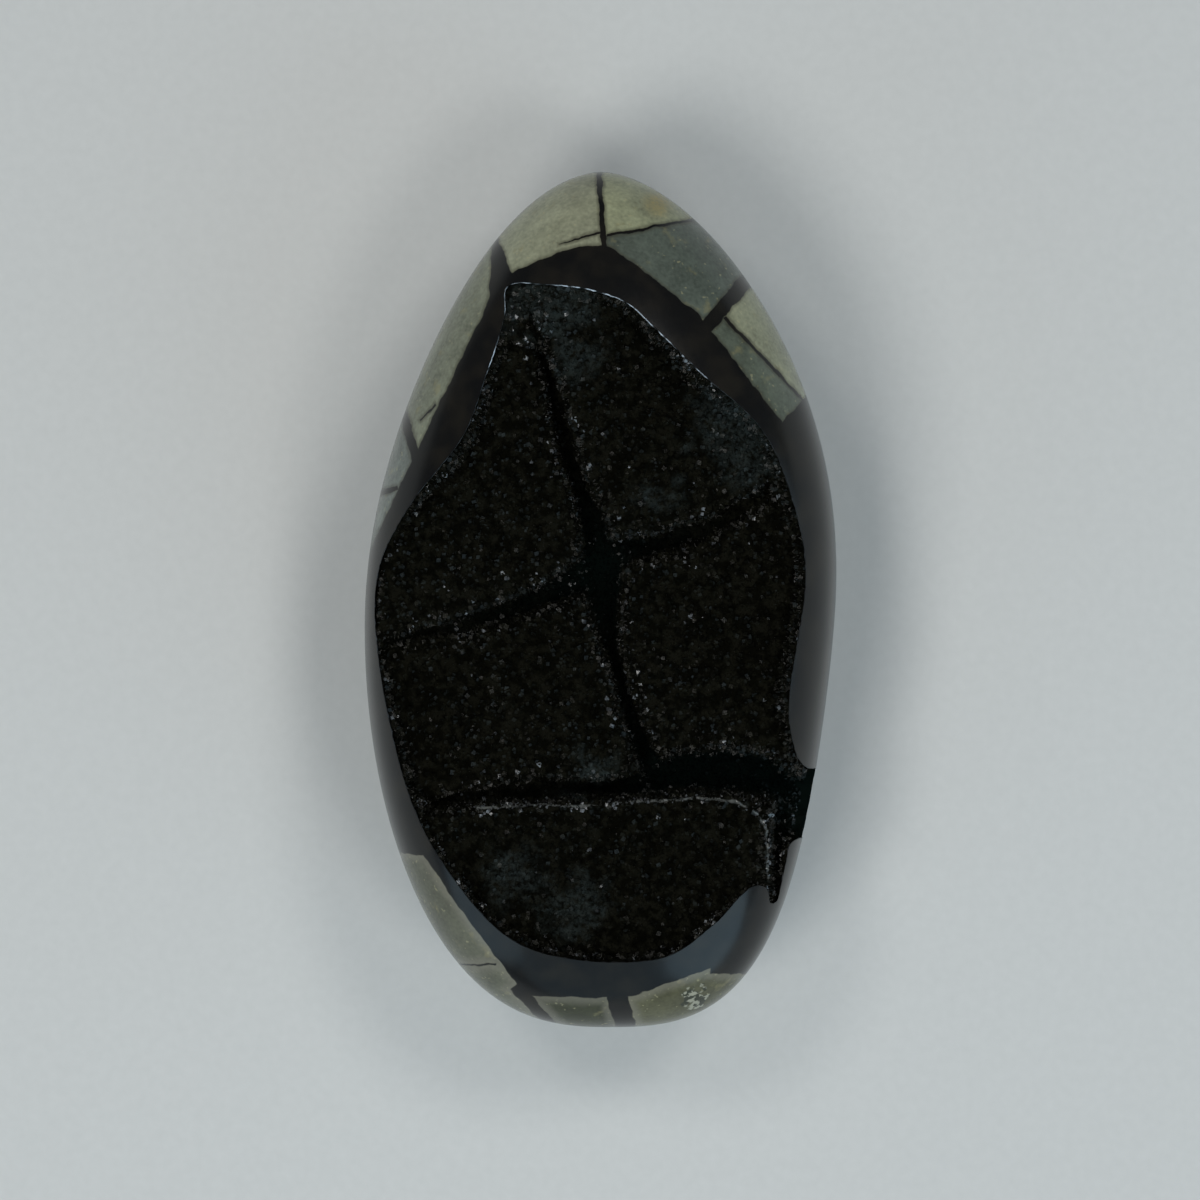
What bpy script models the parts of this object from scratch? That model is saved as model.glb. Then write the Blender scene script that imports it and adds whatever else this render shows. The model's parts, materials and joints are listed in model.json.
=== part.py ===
"""A septarian nodule, ground and polished into an egg, with an open hollow lined with black crystals.

The stone lies on its back, on a small flat ground off it. Its length runs along Y with the pointed end
at +Y, and the hollow faces +Z. The origin is on the surface that it rests on, below its middle.
Heights in the first sections are above the egg's widest level, and place() lifts them at the end.
"""

import math
import random

import bmesh
import bpy
import numpy
from mathutils import Vector, noise
from mathutils.bvhtree import BVHTree
from mathutils.geometry import delaunay_2d_cdt

MM = 0.001

# The egg
LENGTH = 130 * MM
WIDTH = 71.5 * MM
FRONT_BULGE = 24 * MM
BACK_BULGE = 26 * MM
FLAT_CUT = 0.8 * MM
ROUNDNESS = 2.2
SMOOTH_ANGLE = math.radians(14)
SECTORS = 60
RINGS_BELOW = 9
RINGS_ABOVE = 8

# How square the outline is: at the middle, and how that changes towards the pointed end
SQUARE_MIDDLE = 1.93
SQUARE_TAPER = -0.42
SQUARE_ENDS = 0.245

# The middle line strays to one side as the hand that ground the egg left it
STRAY_SHIFT = 0.42 * MM
STRAY_SWING = 1.37 * MM
STRAY_WAVES = 3.03
STRAY_START = -0.31
STRAY_LEAN = -0.9 * MM

# The hollow's layers, each measured from the bare stone
GAP = 0.3 * MM
CRUST = 1.5 * MM
LIP = 3.6 * MM
WALL_INSET = 1.2 * MM
BRIM = 0.5 * MM
LID = FRONT_BULGE + 3 * MM

# The rim of the hollow seen from the front, clockwise from the top left. Where the low crack runs out
# through the right side, the rim lies outside the egg.
RIM_MM = [
    (-13.9, 47.2),
    (-7.7, 47.3),
    (0, 46.9),
    (7.5, 41.4),
    (15.1, 33.4),
    (24.3, 25.5),
    (29.0, 14.6),
    (30.9, 3.0),
    (28.5, -13.8),
    (28.9, -21.0),
    (31.0, -25.0),
    (37.0, -26.5),
    (36.5, -36.0),
    (29.6, -38.5),
    (28.2, -43.5),
    (25.2, -46.0),
    (21.4, -44.8),
    (16.6, -49.0),
    (9.0, -54.0),
    (-4.3, -54.1),
    (-14.5, -50.4),
    (-23.6, -39.9),
    (-29.3, -28.2),
    (-33.4, -10.0),
    (-33.7, 3.7),
    (-28.7, 14.2),
    (-20.8, 24.3),
    (-17.1, 34.0),
    (-14.6, 42.0),
]
RIM_SPACING = 4 * MM

# The crystal-covered blocks in the hollow: middle x and y, height there, and slopes along x and y
BLOCKS = {
    "upper_right": (8, 22, 10.0, -0.16, 0.06),
    "upper_left": (-14, 16, 9.0, 0.08, 0.05),
    "right": (16, -8, 7.5, -0.06, 0.02),
    "lower_left": (-14, -16, 7.4, 0.14, -0.02),
    "bottom": (0, -43, 9.4, 0.03, 0.09),
    "side_step": (30, -38, 1.6, -0.10, 0.0),
}
LUMP_HEIGHT = 0.5 * MM
LUMP_SIZE = 11 * MM

# The cracks between the blocks: x, y, half the open width, and the height of the floor, in mm
LONG_CRACK = [
    (-12.4, 46.0, 0.5, 8.5),
    (-9.2, 37.9, 0.8, 6.5),
    (-7.4, 32.6, 1.0, 5.2),
    (-5.9, 26.5, 1.1, 4.2),
    (-4.4, 20.5, 1.3, 3.0),
    (-2.4, 15.1, 1.6, 1.8),
    (-0.6, 9.8, 2.1, 0.6),
    (0.0, 5.4, 2.9, -0.4),
    (0.6, -0.5, 1.9, 0.2),
    (1.3, -6.4, 1.2, 1.2),
    (3.0, -13.0, 1.0, 2.0),
    (4.8, -18.6, 1.1, 1.4),
    (7.0, -24.0, 1.7, 0.2),
    (9.2, -27.2, 2.4, -0.8),
]
LEFT_CRACK = [
    (-33.5, -6.8, 0.5, 2.6),
    (-29.7, -5.7, 0.8, 2.6),
    (-22.9, -4.2, 1.1, 2.4),
    (-15.3, -2.1, 1.4, 1.8),
    (-8.4, 0.7, 1.8, 0.8),
    (0.0, 5.0, 2.6, -0.4),
]
RIGHT_CRACK = [
    (0.0, 5.4, 2.6, -0.4),
    (4.0, 7.6, 1.9, 0.8),
    (9.8, 8.5, 1.6, 1.6),
    (15.1, 10.4, 1.5, 2.4),
    (20.5, 13.2, 1.3, 3.2),
    (25.0, 15.9, 1.0, 4.0),
    (28.8, 17.4, 0.6, 5.0),
]
LOW_CRACK = [
    (-27.5, -31.9, 0.6, 3.8),
    (-21.4, -30.2, 1.0, 3.6),
    (-15.3, -29.2, 1.4, 3.0),
    (-7.7, -28.7, 1.6, 2.6),
    (0.0, -28.6, 1.7, 2.2),
    (5.0, -28.0, 2.0, 1.0),
    (9.2, -26.6, 2.8, -0.6),
    (13.6, -25.8, 3.1, -0.8),
    (19.7, -26.2, 2.9, -0.6),
    (25.0, -27.2, 2.7, -0.2),
    (30.0, -28.6, 3.0, -0.2),
    (36.0, -30.6, 3.4, -0.4),
]
SIDE_CRACK = [
    (28.6, -29.0, 2.4, 0.0),
    (27.6, -35.5, 1.8, 0.8),
    (26.8, -39.6, 1.1, 2.4),
    (26.2, -43.5, 0.5, 4.4),
]
CRACKS = [LONG_CRACK, LEFT_CRACK, RIGHT_CRACK, LOW_CRACK, SIDE_CRACK]
CRACK_WALL_SHARE = 0.55
CRACK_WALL_RUN = 0.8 * MM
LEAST_STEP = 0.16
SHOULDER_DROP = 0.7 * MM
SHOULDER_WIDTH = 2.4 * MM

# The crystals that stand on the crust, one on each of its faces
CRYSTAL_SPACING = 3.1 * MM
CRYSTAL_RISE = 0.34
CROWDED_CRYSTAL_RISE = 0.1
BARE_SPACING = 3.7 * MM


# The outside of the egg
def stray(y):
    """How far the egg's middle line lies from x = 0."""
    along = y / (LENGTH / 2)
    swing = STRAY_SWING * math.sin(STRAY_WAVES * along + STRAY_START)
    return STRAY_SHIFT + swing + STRAY_LEAN * along


def reach(angle):
    """From the middle to the widest outline, in this direction."""
    across = math.cos(angle) / (WIDTH / 2)
    along = math.sin(angle) / (LENGTH / 2)
    rise = along / math.hypot(across, along)
    power = SQUARE_MIDDLE + SQUARE_TAPER * rise + SQUARE_ENDS * rise**2
    return (abs(across) ** power + abs(along) ** power) ** (-1 / power)


def dome(x, y):
    """Height of the polished front."""
    x -= stray(y)
    share = min(1, math.hypot(x, y) / reach(math.atan2(y, x)))
    return FRONT_BULGE * (1 - share**ROUNDNESS) ** (1 / ROUNDNESS)


def bridge(bm, lower, upper):
    """A band of faces between two closed rings of as many corners."""
    after = lower[1:] + lower[:1], upper[1:] + upper[:1]
    return [bm.faces.new(corners) for corners in zip(lower, after[0], after[1], upper)]


def ring(bm, bulge, turn):
    """One level of the egg, turned this far from the widest level towards its front or back."""
    share = math.cos(turn) ** (2 / ROUNDNESS)
    z = math.copysign(abs(math.sin(turn)) ** (2 / ROUNDNESS) * bulge, turn)
    corners = []
    for i in range(SECTORS):
        turn_round = math.tau * i / SECTORS
        angle = math.atan2(LENGTH * math.sin(turn_round), WIDTH * math.cos(turn_round))
        radius = reach(angle) * share
        y = radius * math.sin(angle)
        x = radius * math.cos(angle) + stray(y)
        corners.append(bm.verts.new((x, y, z)))
    return corners


def egg():
    """The whole egg, before it is hollowed, with the flat on its back."""
    flat_turn = -math.asin((1 - FLAT_CUT / BACK_BULGE) ** (ROUNDNESS / 2))
    top_turn = math.radians(80)
    turns = [flat_turn * (1 - i / RINGS_BELOW) for i in range(RINGS_BELOW)]
    turns += [top_turn * i / RINGS_ABOVE for i in range(RINGS_ABOVE + 1)]
    bm = bmesh.new()
    rings = [ring(bm, BACK_BULGE if turn < 0 else FRONT_BULGE, turn) for turn in turns]
    for lower, upper in zip(rings, rings[1:]):
        bridge(bm, lower, upper)
    bm.faces.new(reversed(rings[0]))
    bm.faces.new(rings[-1])
    return bm


# The floor of the hollow
def at(line, key, value):
    """Reads a crack's stations at the place where its column key has this value."""
    order = sorted(line, key=lambda station: station[key])
    for a, b in zip(order, order[1:]):
        if value <= b[key] or b is order[-1]:
            share = min(1, max(0, (value - a[key]) / (b[key] - a[key])))
            return [p + (q - p) * share for p, q in zip(a, b)]


def block_at(x, y):
    """The name of the block at this place, by the cracks that bound it. x and y are in mm."""
    if y < at(LOW_CRACK, 0, x)[1]:
        return "side_step" if x > at(SIDE_CRACK, 1, y)[0] else "bottom"
    if x > at(LONG_CRACK, 1, y)[0]:
        return "upper_right" if y > at(RIGHT_CRACK, 0, x)[1] else "right"
    return "upper_left" if y > at(LEFT_CRACK, 0, x)[1] else "lower_left"


def block_top(x, y):
    """Height of the bare block tops, lumps and all. They stay below the polished lip."""
    middle_x, middle_y, height, slope_x, slope_y = BLOCKS[block_at(x / MM, y / MM)]
    top = height + (x / MM - middle_x) * slope_x + (y / MM - middle_y) * slope_y
    lump = LUMP_HEIGHT * noise.noise(Vector((x, y, 0)) / LUMP_SIZE)
    return min(top * MM + lump, dome(x, y) - LIP)


def nearest_on(crack, x, y):
    """Distance from this place to a crack's middle line, with half its width and its floor there."""
    best = None
    here = Vector((x, y)) / MM
    for a, b in zip(crack, crack[1:]):
        start, run = Vector(a[:2]), Vector(b[:2]) - Vector(a[:2])
        share = min(1, max(0, (here - start).dot(run) / run.length_squared))
        distance = (start + run * share - here).length
        if best is None or distance < best[0]:
            best = (distance, a[2] + (b[2] - a[2]) * share, a[3] + (b[3] - a[3]) * share)
    return [value * MM for value in best]


def crack_widths(half, coat):
    """Half the width of a crack at its lips and at its foot, where each wall carries a coat this thick."""
    lip = half + CRUST - coat
    return lip, max(0, lip - max(CRACK_WALL_RUN, half * CRACK_WALL_SHARE))


def floor_height(x, y, coat):
    """Height of the hollow's floor under a coat of crystals this thick. The coat narrows each crack."""
    top = block_top(x, y) + coat
    height = top
    for crack in CRACKS:
        distance, half, floor = nearest_on(crack, x, y)
        lip, foot = crack_widths(half, coat)
        shoulder = max(0, 1 - max(0, distance - lip) / SHOULDER_WIDTH) ** 2 * SHOULDER_DROP
        level = top - shoulder
        if distance < lip:
            climb = max(0, (distance - foot) / (lip - foot))
            level = floor + coat + (level - floor - coat) * climb
        height = min(height, level)
    return height


def smooth_loop(corners, spacing):
    """A closed smooth curve through these corners, as points about this far apart."""
    points = []
    count = len(corners)
    for i in range(count):
        a, b, c, d = (Vector(corners[(i + k) % count]) * MM for k in (-1, 0, 1, 2))
        steps = max(1, round((c - b).length / spacing))
        for step in range(steps):
            t = step / steps
            rounded = (c - a) * t + (2 * a - 5 * b + 4 * c - d) * t**2
            points.append(b + (rounded + (3 * b - a - 3 * c + d) * t**3) / 2)
    return points


def inset(loop, distance):
    """The same clockwise loop, drawn in by this distance."""
    moved = []
    for before, here, after in zip(loop[-1:] + loop[:-1], loop, loop[1:] + loop[:1]):
        along = (after - before).normalized()
        moved.append(here + Vector((along.y, -along.x)) * distance)
    return moved


def crack_points(coat, spacing):
    """Plan points along both lips and both foot lines of every crack."""
    points = []
    for crack in CRACKS:
        for a, b in zip(crack, crack[1:]):
            start, run = Vector(a[:2]) * MM, (Vector(b[:2]) - Vector(a[:2])) * MM
            side = Vector((-run.y, run.x)).normalized()
            steps = max(1, round(run.length / spacing))
            for step in range(steps):
                share = step / steps
                lip, foot = crack_widths((a[2] + (b[2] - a[2]) * share) * MM, coat)
                lines = (-lip, -foot, foot, lip) if foot > spacing * LEAST_STEP else (-lip, 0, lip)
                points += [start + run * share + side * offset for offset in lines]
    return points


def lattice_points(spacing, chance):
    """A three-way lattice over the egg's front, each point shaken a little."""
    points = []
    row_height = spacing * math.sqrt(3) / 2
    rows = round(LENGTH / row_height)
    columns = round(WIDTH * 1.1 / spacing)
    for row in range(rows):
        for column in range(columns):
            x = (column - columns / 2 + (row % 2) / 2) * spacing
            y = (row - rows / 2) * row_height
            shake = Vector((chance.uniform(-1, 1), chance.uniform(-1, 1))) * spacing * 0.16
            points.append(Vector((x, y)) + shake)
    return points


def floor_plan(loop, coat, spacing):
    """Triangles over the inside of the loop: its corners and their faces."""
    chance = random.Random(7)
    kept = []
    for point in crack_points(coat, spacing):
        if all((point - other).length > spacing * LEAST_STEP for other in kept + loop):
            kept.append(point)
    for point in lattice_points(spacing, chance):
        if all((point - other).length > spacing * 0.72 for other in kept + loop):
            kept.append(point)
    corners = [point / MM for point in loop + kept]
    outline = [list(range(len(loop)))[::-1]]
    found = delaunay_2d_cdt(corners, [], outline, 1, 1e-5)
    return [point * MM for point in found[0]], found[2]


def raise_crystals(bm, faces):
    """Gives each face of the crust one crystal with flat sides, low where it would meet another."""
    chance = random.Random(11)
    low_places = {}
    for face in faces:
        middle, up = face.calc_center_median(), -face.normal
        size = math.sqrt(face.calc_area())
        nearest = [nearest_on(crack, middle.x, middle.y) for crack in CRACKS]
        crowded = any(distance < half + size / 2 for distance, half, _ in nearest)
        rise = CROWDED_CRYSTAL_RISE if crowded else CRYSTAL_RISE
        tip = bmesh.ops.poke(bm, faces=[face])["verts"][0]
        tip.co = middle + up * size * rise * chance.uniform(0.7, 1.25)
        shake = Vector((chance.uniform(-1, 1), chance.uniform(-1, 1), 0))
        tip.co += shake * size * rise * 0.35
        low_places[tip] = middle + up * size * 0.02
    bm.faces.ensure_lookup_table()
    tree = BVHTree.FromBMesh(bm)
    for pair in tree.overlap(tree):
        one, other = (set(bm.faces[i].verts) for i in pair)
        if one.isdisjoint(other):
            for tip in (one | other) & low_places.keys():
                tip.co = low_places[tip]


def free_space(coat, spacing, crystals=False):
    """The space left in the hollow once its walls carry a coat this thick, as a closed plug."""
    rim = smooth_loop(RIM_MM, RIM_SPACING)
    brim = inset(rim, coat)
    points, triangles = floor_plan(inset(rim, WALL_INSET + coat), coat, spacing)
    bm = bmesh.new()
    floor = [bm.verts.new((*point, floor_height(*point, coat))) for point in points]
    faces = [bm.faces.new([floor[i] for i in triangle]) for triangle in triangles]
    foot = floor[: len(rim)]
    brim_places = [Vector((*point, dome(*point) + BRIM)) for point in brim]
    halfway = [bm.verts.new((place + corner.co) / 2) for place, corner in zip(brim_places, foot)]
    top = [bm.verts.new(place) for place in brim_places]
    faces += bridge(bm, foot, halfway) + bridge(bm, halfway, top)
    lid = [bm.verts.new((*point, LID)) for point in brim]
    bridge(bm, top, lid)
    bm.faces.new(lid)
    unused = [corner for corner in bm.verts if not corner.link_faces]
    bmesh.ops.delete(bm, geom=unused, context="VERTS")
    bmesh.ops.recalc_face_normals(bm, faces=bm.faces)
    if crystals:
        raise_crystals(bm, faces)
    return bm


def draw_in(bm, distance):
    """Moves every wall of a closed mesh inwards by this distance, each corner to suit all its faces."""
    bm.normal_update()
    moves = []
    for corner in bm.verts:
        normals = numpy.array([face.normal for face in corner.link_faces])
        wanted = numpy.full(len(normals), -distance)
        moves.append(numpy.linalg.lstsq(normals, wanted, rcond=0.2)[0])
    for corner, move in zip(bm.verts, moves):
        corner.co += Vector(move)


# The two pieces
def stone_material(name, colour, roughness):
    material = bpy.data.materials.new(name)
    material.use_nodes = True
    shader = material.node_tree.nodes["Principled BSDF"]
    shader.inputs["Base Color"].default_value = (*colour, 1)
    shader.inputs["Roughness"].default_value = roughness
    shader.inputs["Metallic"].default_value = 0
    return material


def put_in_scene(name, bm):
    """Lifts the mesh so that the flat rests on z = 0, and makes it an object."""
    bmesh.ops.translate(bm, verts=bm.verts, vec=(0, 0, BACK_BULGE - FLAT_CUT))
    mesh = bpy.data.meshes.new(name)
    bm.to_mesh(mesh)
    bm.free()
    mesh.shade_smooth()
    mesh.set_sharp_from_angle(angle=SMOOTH_ANGLE)
    made = bpy.data.objects.new(name, mesh)
    bpy.context.scene.collection.objects.link(made)
    return made


def helper(name, bm):
    """A cutter, which isn't part of the object."""
    made = put_in_scene(name, bm)
    made.hide_render = True
    made.display_type = "WIRE"
    return made


def boolean(target, operation, other):
    modifier = target.modifiers.new(f"{operation.lower()}_{other.name}", "BOOLEAN")
    modifier.operation = operation
    modifier.object = other
    modifier.solver = "EXACT"


def nodule():
    """The polished egg: mudstone and dark calcite grown as one, with the bare hollow cut in its front."""
    body = put_in_scene("nodule", egg())
    boolean(body, "DIFFERENCE", helper("bare_hollow", free_space(0, BARE_SPACING)))
    body.data.materials.append(stone_material("mudstone", (0.17, 0.18, 0.13), 0.2))


def crystal_crust():
    """The black calcite crystals grown together over every face of the hollow, cut flush with the egg."""
    bare = free_space(0, BARE_SPACING)
    draw_in(bare, GAP)
    crust = put_in_scene("crystal_crust", bare)
    boolean(crust, "INTERSECT", helper("whole_egg", egg()))
    inside = free_space(CRUST, CRYSTAL_SPACING, crystals=True)
    boolean(crust, "DIFFERENCE", helper("open_space", inside))
    crust.data.materials.append(stone_material("black_calcite", (0.012, 0.011, 0.01), 0.25))


for leftover in list(bpy.data.objects):
    bpy.data.objects.remove(leftover)
nodule()
crystal_crust()
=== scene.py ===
"""A septarian nodule, ground and polished into an egg, open in front on a hollow of black crystals.

The egg lies on its back with its pointed end at +Y and its hollow facing +Z. Sizes are in millimetres
until a mesh takes them, and heights are above the egg's widest level, as on the bench it was ground on.
"""

import json
import math
import random

import bpy
import numpy as np
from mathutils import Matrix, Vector, noise

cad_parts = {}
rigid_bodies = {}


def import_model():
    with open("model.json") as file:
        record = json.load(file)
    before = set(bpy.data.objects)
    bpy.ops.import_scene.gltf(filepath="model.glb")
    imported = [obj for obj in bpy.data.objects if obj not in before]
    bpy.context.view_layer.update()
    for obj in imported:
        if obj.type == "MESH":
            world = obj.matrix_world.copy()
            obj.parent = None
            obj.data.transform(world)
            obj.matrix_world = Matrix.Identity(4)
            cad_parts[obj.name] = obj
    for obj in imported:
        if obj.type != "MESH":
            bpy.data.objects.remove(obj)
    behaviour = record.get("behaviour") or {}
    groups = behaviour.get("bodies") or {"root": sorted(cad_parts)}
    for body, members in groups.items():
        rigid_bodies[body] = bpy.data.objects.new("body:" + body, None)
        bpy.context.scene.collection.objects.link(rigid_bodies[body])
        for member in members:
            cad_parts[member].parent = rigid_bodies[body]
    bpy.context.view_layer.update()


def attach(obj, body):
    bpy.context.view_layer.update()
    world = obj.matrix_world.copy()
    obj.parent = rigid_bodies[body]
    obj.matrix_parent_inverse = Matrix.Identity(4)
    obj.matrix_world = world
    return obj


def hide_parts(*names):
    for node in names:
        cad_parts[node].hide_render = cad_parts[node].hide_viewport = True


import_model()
bpy.ops.object.select_all(action="DESELECT")

# The polished egg
# One concretion: olive mudstone that shrank and cracked as it hardened, its cracks filled with black
# calcite. It was sawn, ground to an egg by hand and polished, with a small flat left on its back.
MM = 0.001
LENGTH = 130
WIDTH = 71.5
FRONT_BULGE = 24
BACK_BULGE = 26
FLAT_CUT = 0.8
ROUNDNESS = 2.2
SQUARE_MIDDLE = 1.93
SQUARE_TAPER = -0.42
SQUARE_ENDS = 0.245
STRAY_SHIFT = 0.42
STRAY_SWING = 1.37
STRAY_WAVES = 3.03
STRAY_START = -0.31
STRAY_LEAN = -0.9
WIDEST_LEVEL = BACK_BULGE - FLAT_CUT
EGG_SECTORS = 200
EGG_RINGS = 110
SMOOTH_ANGLE = math.radians(30)
STONE_IOR = 1.46
STONE_GLOSS = 0.38
LAMP_LEVEL = 0.76
VEIN_EDGE = 0.09
VEIN_STRAY = 0.45
VEIN_STRAY_SIZE = 2.4
BACK_STRAY = 2.2
BACK_STRAY_SIZE = 16
BACK_STARTS = (0.0, -8.0)
BELT_LEVEL = -6.5
BELT_TILT = (0.07, 0.035)
BELT_WIDTH = 1.3
BACK_PANEL = 38
BACK_VEIN = 1.1
BACK_VEIN_SIZE = 22
CORE_ROUNDING = 1.2
CORE_SIDES = [
    ((-16.6, 45.4), (-27.8, 22.1)),
    ((-26.5, -38.8), (-19.5, -49.0)),
    ((-19.5, -49.0), (-11.3, -59.8)),
    ((-10.5, -59.9), (4.3, -60.0)),
    ((4.3, -60.0), (16.0, -55.7)),
    ((27.1, 27.0), (18.3, 38.2)),
    ((16.5, 41.6), (2.0, 52.6)),
    ((2.0, 53.1), (-4.5, 53.1)),
    ((-4.5, 52.9), (-12.2, 49.8)),
]
VEINS = {
    "tip": ((0.6, 52.0), (-0.3, 66.0), 0.95, 0.8),
    "tip_left": ((0.2, 55.3), (-6.2, 53.4), 0.45, 0.15),
    "tip_right": ((0.9, 54.6), (15.5, 57.8), 0.5, 0.4),
    "left_wedge": ((-14.3, 45.4), (-16.0, 54.6), 5.0, 0.8),
    "right_wedge": ((15.5, 40.4), (22.4, 48.6), 2.1, 2.3),
    "right_thin": ((18.6, 42.4), (30.8, 30.0), 0.55, 0.45),
    "left_side": ((-27.6, 20.4), (-29.9, 28.4), 1.5, 1.1),
    "left_low": ((-30.5, 16.8), (-34.5, 16.0), 0.7, 0.9),
    "left_short": ((-24.7, 29.4), (-27.3, 27.0), 0.4, 0.3),
    "bottom_left": ((-12.9, -58.2), (-7.6, -64.4), 1.9, 1.6),
    "bottom": ((2.3, -59.0), (3.9, -65.0), 3.2, 3.0),
    "right_end": ((29.9, 20.7), (43.6, 35.3), 12.0, 12.0),
    "left_end": ((-25.5, -32.6), (-40.0, -32.0), 12.0, 12.0),
    "bottom_step": ((16.6, -55.1), (25.0, -54.6), 2.6, 4.6),
    "bottom_hair": ((-15.8, -54.9), (-21.5, -55.4), 0.35, 0.2),
}
BOTTOM_DIVIDE = ((-10.3, -61.3), (-6.3, -69.3))
YELLOW_STAIN = (8.6, 59.8, 2.2)
BOTTOM_CHIP = (14.3, -60.4, 2.0)
SHORT_VEINS = ("tip_left", "left_short", "bottom_hair")
TONES = {
    "tip_left": (123, 126, 107),
    "tip_right": (125, 129, 105),
    "below_tip": (72, 79, 72),
    "right_bright": (117, 119, 98),
    "right_dim": (73, 79, 69),
    "left": (103, 107, 92),
    "left_low": (94, 100, 95),
    "bottom_left": (75, 76, 64),
    "bottom": (42, 44, 30),
    "bottom_right": (67, 66, 48),
    "back": (98, 103, 88),
    "back_dim": (74, 79, 70),
}
PANEL_EDGE = 0.1
GRAIN_SIZE = 0.55
GRAIN_SHARE = 0.7
BLOTCH_SIZE = 2.2
BLOTCH_SHARE = 0.6
CLOUD_SIZE = 9
CLOUD_SHARE = 0.9
SHADE_SHIFT = -0.1
MARKS = {
    "pale specks": (0.8, 1.0, (0.68, 0.74), (150, 145, 112), 0.35),
    "yellow smears": (3.0, 4.0, (0.6, 0.72), (118, 112, 78), 0.4),
}
STAIN_COLOUR = (132, 116, 62)
CHIP_RAGGED = 5
CHIP_PALE = (134, 133, 118)
CHIP_DARK = (34, 38, 29)
PALE_EDGE = (-1.8, -0.2)
PALE_EDGE_COLOUR = (112, 108, 98)
PALE_EDGE_SHARE = 0.4
DARK_EDGE = (-0.55, -0.05)
DARK_EDGE_COLOUR = (52, 50, 38)
DARK_EDGE_SHARE = 0.55
BLACK_CALCITE = (9, 9, 9)
BROWN_CALCITE = (23, 21, 17)
MUD_ROUGHNESS = 0.22
CALCITE_SMOOTHER = 0.02
POLISH_SPREAD = 0.08
PIT_DEPTH = 0.02
GRAIN_RELIEF = 0.006
WAVE_RELIEF = 0.05


def stray(y):
    """How far the egg's middle line lies from x = 0."""
    along = y / (LENGTH / 2)
    return STRAY_SHIFT + STRAY_SWING * np.sin(STRAY_WAVES * along + STRAY_START) + STRAY_LEAN * along


def reach(angle):
    """From the middle to the widest outline, in this direction."""
    across = np.cos(angle) / (WIDTH / 2)
    along = np.sin(angle) / (LENGTH / 2)
    rise = along / np.hypot(across, along)
    power = SQUARE_MIDDLE + SQUARE_TAPER * rise + SQUARE_ENDS * rise**2
    return (np.abs(across) ** power + np.abs(along) ** power) ** (-1 / power)


def dome(x, y):
    """Height of the polished front."""
    x = x - stray(y)
    share = np.minimum(1, np.hypot(x, y) / reach(np.arctan2(y, x)))
    return FRONT_BULGE * (1 - share**ROUNDNESS) ** (1 / ROUNDNESS)


def corners_of(piece):
    """The piece's corners in mm, with heights above the widest level."""
    flat = np.empty(len(piece.data.vertices) * 3)
    piece.data.vertices.foreach_get("co", flat)
    return flat.reshape(-1, 3) / MM - (0, 0, WIDEST_LEVEL)


def middles_of(piece):
    """The plan places of the middles of the piece's faces, in mm."""
    middles = np.array([face.center.xy for face in piece.data.polygons]) / MM
    return middles[:, 0], middles[:, 1]


def move_corners(piece, places):
    """Puts the piece's corners at these places, given as corners_of gives them."""
    metres = (np.column_stack(places) + (0, 0, WIDEST_LEVEL)) * MM
    piece.data.vertices.foreach_set("co", metres.ravel())
    piece.data.update()


def new_piece(name):
    """Names the object that was just added, and takes its place into its mesh."""
    piece = bpy.context.object
    piece.name = piece.data.name = name
    bpy.ops.object.transform_apply(location=True, rotation=True, scale=True)
    return piece


def delete_faces(piece, chosen):
    """Deletes the chosen faces of the piece, and what only they held."""
    bpy.ops.object.select_all(action="DESELECT")
    bpy.context.view_layer.objects.active = piece
    bpy.ops.object.mode_set(mode="EDIT")
    bpy.ops.mesh.select_mode(type="FACE")
    bpy.ops.mesh.select_all(action="DESELECT")
    bpy.ops.object.mode_set(mode="OBJECT")
    piece.data.polygons.foreach_set("select", chosen)
    bpy.ops.object.mode_set(mode="EDIT")
    bpy.ops.mesh.delete(type="FACE")
    bpy.ops.mesh.select_mode(type="VERT")
    bpy.ops.object.mode_set(mode="OBJECT")


def boolean(piece, operation, other):
    """Cuts the piece with the other object, and takes the cut into its mesh."""
    modifier = piece.modifiers.new(operation.lower(), "BOOLEAN")
    modifier.operation = operation
    modifier.object = other
    modifier.solver = "EXACT"
    bpy.context.view_layer.objects.active = piece
    bpy.ops.object.modifier_apply(modifier=modifier.name)


def make_egg(name):
    """The whole egg, before it is hollowed."""
    bpy.ops.mesh.primitive_uv_sphere_add(segments=EGG_SECTORS, ring_count=EGG_RINGS, radius=1)
    piece = new_piece(name)
    x, y, z = ((corners_of(piece) + (0, 0, WIDEST_LEVEL)) * MM).T
    turn = np.arcsin(np.clip(z, -1, 1))
    share = np.cos(turn) ** (2 / ROUNDNESS)
    bulge = np.where(z < 0, BACK_BULGE, FRONT_BULGE)
    level = np.sign(z) * np.abs(np.sin(turn)) ** (2 / ROUNDNESS) * bulge
    angle = np.arctan2(LENGTH * y, WIDTH * x)
    along = reach(angle) * share * np.sin(angle)
    move_corners(piece, (reach(angle) * share * np.cos(angle) + stray(along), along, level))
    bpy.ops.object.mode_set(mode="EDIT")
    bpy.ops.mesh.select_all(action="SELECT")
    bpy.ops.mesh.bisect(
        plane_co=(0, 0, 0), plane_no=(0, 0, 1), use_fill=True, clear_inner=True, threshold=1e-8
    )
    bpy.ops.object.mode_set(mode="OBJECT")
    return piece


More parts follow.
